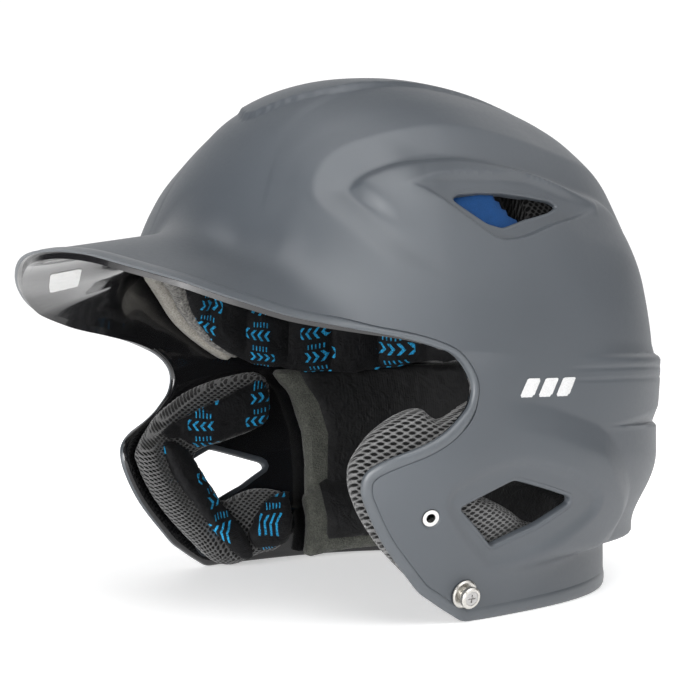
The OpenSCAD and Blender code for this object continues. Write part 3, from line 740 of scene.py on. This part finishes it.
def build_shell():
    rim = rim_loop()
    closed_rim = np.vstack([[(-5, 95), (-5, rim[0, 1])], rim, [(365, rim[0, 1]), (365, 95)]])
    ears = trail(filleted(EAR_HOLE, 1.2, 6), True, 1.0)[0]
    vents = trail(filleted(SIDE_VENT, 1.0, 5), True, 1.0)[0]
    rim_line = trail(np.vstack([rim, [(360, rim[0, 1])]]), False, 0.5)[1]
    holes = [(ears, 1.7), (vents, 1.7), (circle_places(INSERT, 3.3), 1.2), (circle_places(STUD, 4.2), 1.2)]

    def value(keep):
        def at(A, E):
            A = np.mod(A, 360)
            p = surface(A, E)
            d = gap(p, rim_line)
            v = np.where(inside(A, E, closed_rim), d, -d) - keep * slim(A, E)
            a = np.abs(turn(A))
            near = (a > 52) & (a < 118) & (E < 52)
            for outline, border_mm in holes:
                h = depth_in(a[near], E[near], surface(a[near], E[near]), outline)
                v[near] = np.minimum(v[near], -h - (border_mm if keep < 5 else 2.2))
            return v
        return at

    coarse, fine = ((0.8, 0.36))
    cols = stepped(coarse, fine, 0, 56, 128, 232, 304, 360)[:-1]
    rows = stepped(coarse, fine, -54, -7, 12, 28, 58, 89)
    az, el, faces, _ = trimmed(cols, rows, value(4.4), True)
    outer = skin(az, el)
    # the trimmed border dips under the lip
    edge = border(faces)
    ring = sorted({v for e in edge for v in e if el[v] < 88})
    dip = {v: len(outer) + k for k, v in enumerate(ring)}
    outer = np.vstack([outer, outer[ring] - outward(az[ring], el[ring]) * 1.2])
    faces = faces + [[b, a, dip[a], dip[b]] for a, b in edge if a in dip and b in dip]
    top = [v for v in range(len(az)) if el[v] > 88.9]
    top = sorted(top, key=lambda v: az[v])
    pole = len(outer)
    outer = np.vstack([outer, skin(np.array([0.0]), np.array([90.0]))])
    faces = faces + [[top[i], top[(i + 1) % len(top)], pole] for i in range(len(top))]
    materials = [0] * len(faces)
    points = [outer]
    total = len(outer)

    def add(p, f, m):
        nonlocal total
        points.append(p)
        faces.extend([[v + total for v in q] for q in f])
        materials.extend([m] * len(f))
        total += len(p)

    # inside skin
    cols = np.arange(0, 360 - 1e-6, 1.5)
    rows = np.arange(-54, 88.01, 1.5)
    az, el, f, _ = trimmed(cols, rows, value(5.0), True)
    inner = surface(az, el) - outward(az, el) * (WALL + 0.1)
    top = sorted([v for v in range(len(az)) if el[v] > 87.2], key=lambda v: az[v])
    pole = len(inner)
    inner = np.vstack([inner, surface(np.array([0.0]), np.array([90.0])) - [[0, 0, WALL]]])
    f = f + [[top[i], top[(i + 1) % len(top)], pole] for i in range(len(top))]
    add(inner, [q[::-1] for q in f], 2)
    # lips
    p = surface(rim[:, 0], rim[:, 1])
    low = soft_ramp(p[:, 2], 22, 4) * soft_ramp(np.abs(turn(rim[:, 0])), 60, 84)
    widths = slim(rim[:, 0], rim[:, 1]) + low * (0.3 + 0.4 * soft_ramp(np.abs(turn(rim[:, 0])), 84, 150))
    p, f = lip(rim, RIM_PROFILE, False, widths)
    ring = len(rim)
    add(p, f, 1)
    for k in range(len(f)):
        if k // ring >= 10:
            materials[-len(f) + k] = 2
    for outline, _ in holes:
        for side in (1, -1):
            o = outline.copy()
            o[:, 0] *= side
            add(*lip(o, HOLE_PROFILE, True), 0)
    obj = mesh_object("shell_moulding", np.vstack(points), faces, [PAINT, LIP, GLOSS], materials, 38)
    return show(obj, ["shell"])


def pillow(outline, out_depth, in_depth, step, edge, bulge=None, slack=0.12, brim=False):
    """A cushion between two depths under the outer surface, rounded towards its outline."""
    o = np.asarray(outline, float)
    low, high = o.min(0) - 2 * step, o.max(0) + 2 * step
    value = lambda A, E: depth_in(A, E, surface(A, E, brim), o, brim)
    az, el, faces, state = trimmed(np.arange(low[0], high[0], step), np.arange(low[1], high[1], step), value)
    p, n = surface(az, el, brim), outward(az, el, brim)
    d = np.where(state == 0, 0, np.maximum(depth_in(az, el, p, o, brim), 0))
    f = np.sqrt(np.clip(1 - (1 - np.clip(d / edge, 0, 1)) ** 2, 0, 1))
    f = slack + (1 - slack) * f
    middle, half = (out_depth + in_depth) / 2, (in_depth - out_depth) / 2
    rise = 0 if bulge is None else bulge(az, el, d)
    outer = p - n * (middle - half * f)[:, None]
    inner = p - n * (middle + half * f + rise)[:, None]
    points, faces = closed(outer, inner, faces)
    return points, faces


def single(name, solid, material, nodes, puff=None):
    obj = mesh_object(name, *solid, [material], sharp=None if puff else 50)
    if puff:
        inflate(obj, *puff)
    return show(stamp(obj), nodes)


def pair(name, solid, material, node, puff=None):
    """A left piece and its mirror image."""
    left = mesh_object(name + "_left", *solid, [material], sharp=None if puff else 50)
    if puff:
        inflate(left, *puff)
    right = mirrored(left, name + "_right")
    for obj, side in ((left, "left"), (right, "right")):
        show(stamp(obj), [node + "_" + side])


def inflate(obj, voxel, pressure, cap):
    """Cloth pressure puffs a pillow so that its skin wrinkles and rounds by itself."""
    scene = bpy.context.scene
    bpy.context.view_layer.objects.active = obj
    for other in bpy.context.selected_objects:
        other.select_set(False)
    obj.select_set(True)
    remesh = obj.modifiers.new("remesh", "REMESH")
    remesh.mode, remesh.voxel_size = "VOXEL", voxel * MM
    bpy.ops.object.modifier_apply(modifier=remesh.name)
    count = len(obj.data.vertices)
    rest = np.empty(count * 3, np.float32)
    obj.data.vertices.foreach_get("co", rest)
    cloth = obj.modifiers.new("cloth", "CLOTH")
    setting = cloth.settings
    setting.quality, setting.mass = 6, 0.25
    setting.tension_stiffness = setting.compression_stiffness = 18
    setting.shear_stiffness, setting.bending_stiffness = 6, 0.4
    setting.use_pressure, setting.uniform_pressure_force = True, pressure
    setting.effector_weights.gravity = 0
    setting.shrink_min = -0.06
    cloth.collision_settings.use_collision = False
    cloth.point_cache.frame_start, cloth.point_cache.frame_end = 1, 14
    for number in range(1, 15):
        scene.frame_set(number)
    shape = obj.evaluated_get(bpy.context.evaluated_depsgraph_get()).to_mesh()
    after = np.empty(count * 3, np.float32)
    shape.vertices.foreach_get("co", after)
    obj.modifiers.remove(cloth)
    scene.frame_set(1)
    move = (after - rest).reshape(-1, 3)
    move -= move.mean(0)
    length = np.linalg.norm(move, axis=1, keepdims=True)
    move *= np.minimum(1, cap * MM / np.maximum(length, 1e-9))
    obj.data.vertices.foreach_set("co", (rest.reshape(-1, 3) + move).ravel())
    obj.data.update()
    obj.data.polygons.foreach_set("use_smooth", [True] * len(obj.data.polygons))


build_shell()

# ---------------------------------------------------------------- head liner
FIRM_OUT, FIRM_IN, SOFT_OUT, SOFT_IN, BAND_OUT, BAND_IN = 4.5, 12.5, 12.8, 19.8, 20.1, 21.7
BAND_LOW = [(-30, 30), (0, 31), (30, 30), (50, 27.5), (60, 24), (69, 18.5), (79, 13.2), (88, 9.2), (109, 5.8),
            (129, 5.2), (140, 6.6), (152, 7.2), (165, 7.5)]
BAND_RISE = 18
COARSE = 1


def band_part(start, stop, low_margin=0.0, high_margin=0.0, ragged=0.0):
    a = np.linspace(start, stop, int(abs(stop - start) / 3) + 1)
    wave = ragged * (np.sin(a * 0.42) + 0.6 * np.sin(a * 0.93 + 1))
    low = curve(np.abs(a), BAND_LOW) + low_margin + wave
    high = curve(np.abs(a), BAND_LOW) + BAND_RISE - high_margin
    return np.vstack([np.stack([a, low], 1), np.stack([a, high], 1)[::-1]])


single("firm_foam_strip", pillow(band_part(-88, 88, 0.3), FIRM_OUT, FIRM_IN, 1.2 * COARSE, 1.6, None, 0.6),
       LIGHT_FOAM, ["front_firm_foam"])
single("comfort_foam_strip", pillow(band_part(-88, 88, 0.9, 0, 0.25), SOFT_OUT, SOFT_IN, 1.2 * COARSE, 2.2, None, 0.45),
       SPECKLED, ["front_comfort_foam"])
pair("side_foam_block", pillow(band_part(90, 130, 3.6), FIRM_OUT, SOFT_IN, 1.4 * COARSE, 2.5, None, 0.6),
     BLACK_FOAM, "side_foam")


def channels(az, el, d):
    along = np.radians(az) * 82
    return 2.6 * np.abs(np.sin(math.pi * along / 21)) ** 0.55 * np.clip(d / 6, 0, 1)


band = band_part(-164, 164, 0.9, 1.2, 0.3)
margin = 2.6 * (1 - soft_ramp(np.abs(band[:, 0]), 50, 80))
band[:len(band) // 2, 1] += margin[:len(band) // 2]
single("sewn_headband", pillow(band, BAND_OUT, BAND_IN, 0.9 * COARSE, 3.0, channels, 0.3),
       PRINTED, ["headband_cover"])

def disc(columns, rows, out_depth, in_depth):
    """A flat round cushion under the top of the dome."""
    n = len(rows)
    az, el = np.repeat(columns, n), np.tile(rows, len(columns))
    faces = [[i * n + j, (i + 1) % len(columns) * n + j, (i + 1) % len(columns) * n + j + 1, i * n + j + 1]
             for i in range(len(columns)) for j in range(n - 1)]
    p, n = surface(az, el), outward(az, el)
    return closed(p - n * out_depth, p - n * in_depth, faces)


single("crown_disc", disc(np.arange(-180, 180, 6.0), np.array([74, 76, 79, 82, 85, 87.5, 89.0]), 4.6, 14.2),
       BLACK_CLOTH, ["crown_pad_top"])
pair("crown_side_pad", pillow(rounded([(30, 54), (30, 66), (62, 68), (85, 66), (86.5, 45), (94.5, 37), (90, 32), (75, 36), (58, 46)], 4),
                              4.5, 14.5, 1.6 * COARSE, 4), BLUE_FOAM, "crown_pad")
pair("crown_mesh_pad", pillow(rounded([(97, 33), (97, 64), (118, 66), (140, 60), (140, 34), (118, 31)], 4),
                              4.5, 14.5, 1.6 * COARSE, 3.5), DARK_MESH, "crown_mesh")


def about_back(half):
    half = np.asarray(half, float)
    other = half[::-1].copy()
    other[:, 0] = 360 - other[:, 0]
    return np.vstack([half, other])


REAR = [(140, 7), (102.5, 7), (104.5, 4), (108.3, 0.5), (112.3, -10), (112.8, -19), (111.5, -30), (109.5, -41),
        (125, -38), (140, -35.5), (160, -33.5), (176, -33)]
COVER = [(140, 7), (108.5, 7), (111, 3), (115, -2), (118, -10), (117.5, -22), (116, -31), (115, -37), (125, -35.5),
         (140, -33), (160, -31), (176, -30.5)]
single("rear_foam_panel", pillow(about_back(REAR), 4.9, 13.5, 1.2 * COARSE, 2.4, None, 0.4),
       OLIVE_FOAM, ["rear_foam"])
single("rear_cloth_panel", pillow(about_back(COVER), 14.4, 17.9, 1.2 * COARSE, 4, lambda a, e, d: 1.6 * np.clip(d / 20, 0, 1)),
       BLACK_CLOTH, ["rear_cover"])

# ---------------------------------------------------------------- ear pads
EAR_TOP = [(67, -1.4), (76, 2.6), (88, 5.6), (97, 6.3), (100.3, 2), (99.5, -4.5), (96.5, -8.8), (86.5, -12.2), (77, -14.2)]
EAR_FOOT = [(102, -27.6), (104, -31), (103.3, -36), (99, -39.5), (92, -40.5), (82, -41.5), (73, -40)]
# the left pad bulges into the ear opening and past the flap's front edge, the right one stays behind both
EAR_OPENING = {
    "left": [(73.5, -16.5), (80, -19), (88, -22.5), (95, -26)],
    "right": [(73, -17.5), (77.5, -25), (80.5, -29), (92, -26.8)],
}
EAR_FRONT = {
    "left": [(66, -37), (59.5, -32.8), (54.2, -28.6), (49.6, -23), (46.7, -17), (46, -12), (47.4, -8), (51.3, -3.6),
             (57.4, -0.2), (62.5, 0.8)],
    "right": [(66, -36), (60, -31), (55, -24.5), (51.5, -17), (50.5, -13), (53, -10.5), (58, -7), (62, -4)],
}
STRIPS = {
    "upper": [(58.3, -9.4), (61, -6.8), (70, -3.6), (82, 0.4), (93.5, 4.2), (97, 1.6), (97.6, -4.2), (95, -8.2),
              (86.5, -11.6), (76.5, -13.8), (71.5, -12.8), (66.5, -10.4)],
    "front": [(59, -12.2), (66.2, -12.8), (71.4, -18.6), (76.6, -29.6), (82.5, -35.4), (85.4, -40.2), (79.7, -40),
              (70.2, -35), (63.2, -28), (58.9, -19.6)],
    "lower": [(85.8, -37), (93.4, -32.4), (100.4, -29), (103, -31.5), (102.4, -35.6), (98.6, -38.8), (89.5, -39.8)],
}
for side, front in EAR_FRONT.items():
    points, faces = pillow(rounded(EAR_TOP + EAR_OPENING[side] + EAR_FOOT + front, 4), 5.0, 15.5, 0.8 * COARSE, 4.6, None, 0.1)
    if side == "right":
        points, faces = points * [-1, 1, 1], [f[::-1] for f in faces]
    single("ear_mesh_pad_" + side, (points, faces), MESH_CLOTH, ["ear_pad_" + side])
for part, outline in STRIPS.items():
    pair("ear_" + part + "_strip", pillow(rounded(outline, 4), 15.2, 19.6, 0.7 * COARSE, 4.5, None, 0.1),
         PRINTED, "ear_strip_" + part, (1.6, 5.0, 2.2))

# ---------------------------------------------------------------- small pieces
DOTS = [(-40, 38), (0, 40), (40, 38), (-100, 20), (100, 20), (-150, -15), (150, -15), (180, -22), (-72, 54), (72, 54),
        (-118, 48), (118, 48)]
points, faces = [], []
for a, e in DOTS:
    ring = [(a + 6 * math.cos(t), e + 5 * math.sin(t)) for t in np.linspace(0, 2 * math.pi, 24, endpoint=False)]
    p, f = pillow(ring, 3.75, 4.2, 1.5, 0.4)
    faces += [[v + sum(len(q) for q in points) for v in g] for g in f]
    points.append(p)
single("hook_and_loop_dots", (np.vstack(points), faces), HOOK, ["hook_dots"])
single("blank_label", pillow([(-24.5, 20.4), (-15, 22.3), (-14.5, 25.2), (-24, 23.2)], 3.65, 3.85, 0.3, 0.2, None, 0.9, True),
       LABEL, ["brim_label"])

points, faces = [], []
for k in range(3):
    corners = [(84 + 5.5 * k, 2.8), (88 + 5.5 * k, 2.8), (90.5 + 5.5 * k, 6.6), (86.5 + 5.5 * k, 6.6)]
    value = lambda A, E: depth_in(A, E, surface(A, E), corners)
    az, el, f, _ = trimmed(np.arange(83, 103, 0.5), np.arange(2, 7.5, 0.4), value)
    top = skin(az, el) + outward(az, el) * 0.12
    p, f = closed(top, top - outward(az, el) * 0.3, f)
    faces += [[v + sum(len(q) for q in points) for v in g] for g in f]
    points.append(p)
pair("printed_bars", (np.vstack(points), faces), WHITE, "side_mark")

# ---------------------------------------------------------------- hardware
for kind, material, width in (("faceguard_insert", BRIGHT, 0.25), ("snap_nut", ZINC, 0.15), ("snap_washer", SATIN, 0.2),
                              ("snap_stud", SATIN, 0.3), ("snap_screw", STEEL, 0.12)):
    for side in ("left", "right"):
        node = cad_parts[kind + "_" + side]
        node.data.materials.clear()
        node.data.materials.append(material)
        bevel = node.modifiers.new("bevel", "BEVEL")
        bevel.width, bevel.segments, bevel.limit_method = width * MM, 3, "ANGLE"
        bevel.angle_limit = math.radians(40)

# ---------------------------------------------------------------- studio
scene = bpy.context.scene
scene.view_settings.view_transform = "Standard"
floor_shader = Shader("studio_floor")
floor_shader.put("Base Color", floor_shader.blend(floor_shader.noise(0.004, 2), (0.86, 0.86, 0.87), (0.90, 0.90, 0.90)))
reach = floor_shader.vector("LENGTH", floor_shader.mm)
far = reach.node.outputs["Value"]
floor_shader.put("Roughness", 0.6).put("Emission Color", (1, 1, 1, 1))
floor_shader.put("Emission Strength", floor_shader.spread(far, 0.46, 1.0, 200.0, 1000.0))
rings = np.array([0, 0.3, 0.8, 2, 5, 12]) / MM
angles = np.linspace(0, 2 * math.pi, 64, endpoint=False)
points = [(r * math.cos(t), r * math.sin(t), -0.05) for r in rings for t in angles]
faces = [[k * 64 + i, k * 64 + (i + 1) % 64, (k + 1) * 64 + (i + 1) % 64, (k + 1) * 64 + i][::-1] for k in range(5) for i in range(64)]
floor = mesh_object("studio_floor", points, [f[::-1] for f in faces], [floor_shader.mat])

world = bpy.data.worlds.new("studio")
scene.world = world
world.use_nodes = True
tree = world.node_tree
back = tree.nodes["Background"]
coords = tree.nodes.new("ShaderNodeTexCoord")


def toward(direction, steps):
    """World brightness against the share of a direction."""
    dot = tree.nodes.new("ShaderNodeVectorMath")
    dot.operation = "DOT_PRODUCT"
    tree.links.new(coords.outputs["Generated"], dot.inputs[0])
    dot.inputs[1].default_value = direction
    fade = tree.nodes.new("ShaderNodeMapRange")
    fade.interpolation_type = "SMOOTHSTEP"
    tree.links.new(dot.outputs["Value"], fade.inputs["Value"])
    for key, v in zip(("From Min", "From Max", "To Min", "To Max"), steps):
        fade.inputs[key].default_value = v
    return fade.outputs[0]


# a white sweep behind the helmet, a dim room elsewhere and a dark ceiling
sweep = toward((-0.766, 0.643, 0), (0.45, 0.85, 0.03, 1.1))
ceiling = toward((0, 0, 1), (0.6, 1.0, 1.0, 0.6))
product = tree.nodes.new("ShaderNodeMath")
product.operation = "MULTIPLY"
tree.links.new(sweep, product.inputs[0])
tree.links.new(ceiling, product.inputs[1])
tree.links.new(product.outputs[0], back.inputs["Strength"])
back.inputs["Color"].default_value = (1, 1, 1, 1)


def soft_light(name, azimuth, elevation, distance, size, power, target=(0, 0, 0.1)):
    light = bpy.data.lights.new(name, "AREA")
    light.shape, light.size, light.energy = "DISK", size, power
    obj = bpy.data.objects.new(name, light)
    a, e = math.radians(azimuth), math.radians(elevation)
    way = Vector((math.sin(a) * math.cos(e), -math.cos(a) * math.cos(e), math.sin(e)))
    obj.location = Vector(target) + way * distance
    obj.rotation_euler = way.to_track_quat("Z", "Y").to_euler()
    scene.collection.objects.link(obj)


soft_light("front_softbox", 20, 5, 1.5, 1.2, 33)
soft_light("upper_softbox", 60, 62, 1.5, 1.0, 9)
soft_light("side_softbox", 80, 35, 1.5, 1.2, 7.5)
soft_light("back_softbox", 120, 30, 1.5, 1.2, 4)
soft_light("rear_softbox", 170, 40, 1.5, 1.2, 2.2)
soft_light("brim_softbox", -20, 75, 1.5, 0.8, 4)

# ---------------------------------------------------------------- camera
lens = bpy.data.cameras.new("camera")
lens.lens, lens.sensor_width = 70.06, 36
camera = bpy.data.objects.new("camera", lens)
a, e = math.radians(50), math.radians(0.03)
way = Vector((math.sin(a) * math.cos(e), -math.cos(a) * math.cos(e), math.sin(e)))
camera.location = Vector((-0.00599, 0.00936, 0.10276)) + way * 0.6
camera.rotation_euler = way.to_track_quat("Z", "Y").to_euler()
scene.collection.objects.link(camera)
scene.camera = camera
